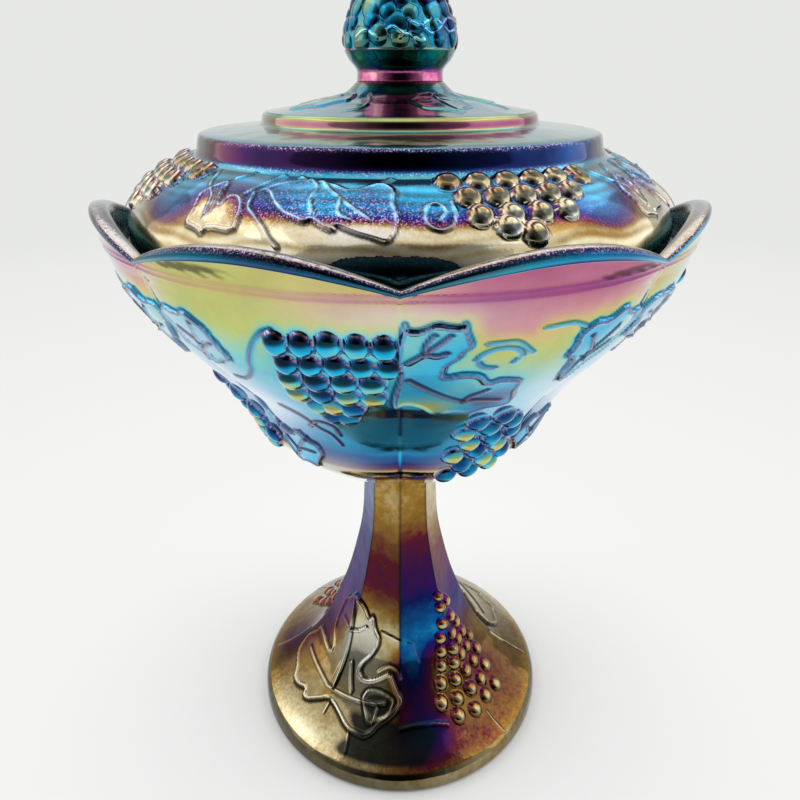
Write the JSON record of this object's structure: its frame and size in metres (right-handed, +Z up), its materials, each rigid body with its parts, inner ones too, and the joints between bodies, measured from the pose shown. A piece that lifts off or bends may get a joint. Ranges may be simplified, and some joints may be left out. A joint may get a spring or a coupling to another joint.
{
  "type": "covered pedestal bowl",
  "caption": "Pressed carnival glass bowl with a petalled rim on a panelled pedestal foot, with a domed lift-off lid and a grape-bunch finial.",
  "frame": {"origin": "centre of the foot's resting ring, on the surface that the bowl stands on", "axes": "+Z up along the bowl's axis; -Y is the front, where a panel crease faces the viewer; +X to the viewer's right"},
  "size_m": [0.1738, 0.1738, 0.265],
  "materials": {
    "bowl_glass": "polished blue carnival glass, iridescent: gold, green, magenta and blue",
    "pedestal_glass": "polished blue carnival glass, iridescent: gold, violet and blue",
    "lid_glass": "polished, lightly stippled blue carnival glass, iridescent: blue, teal, purple and gold",
    "finial_glass": "moulded blue carnival glass, iridescent: teal, blue and purple"
  },
  "bodies": {
    "footed_bowl": {"bowl": "bowl_glass", "pedestal": "pedestal_glass"},
    "lid": {"lid": "lid_glass", "finial": "finial_glass"}
  },
  "joints": [
    {"name": "lid_lift", "type": "slide", "parent": "footed_bowl", "child": "lid", "axis": [0, 0, 1], "range_m": [0, 0.09]}
  ]
}
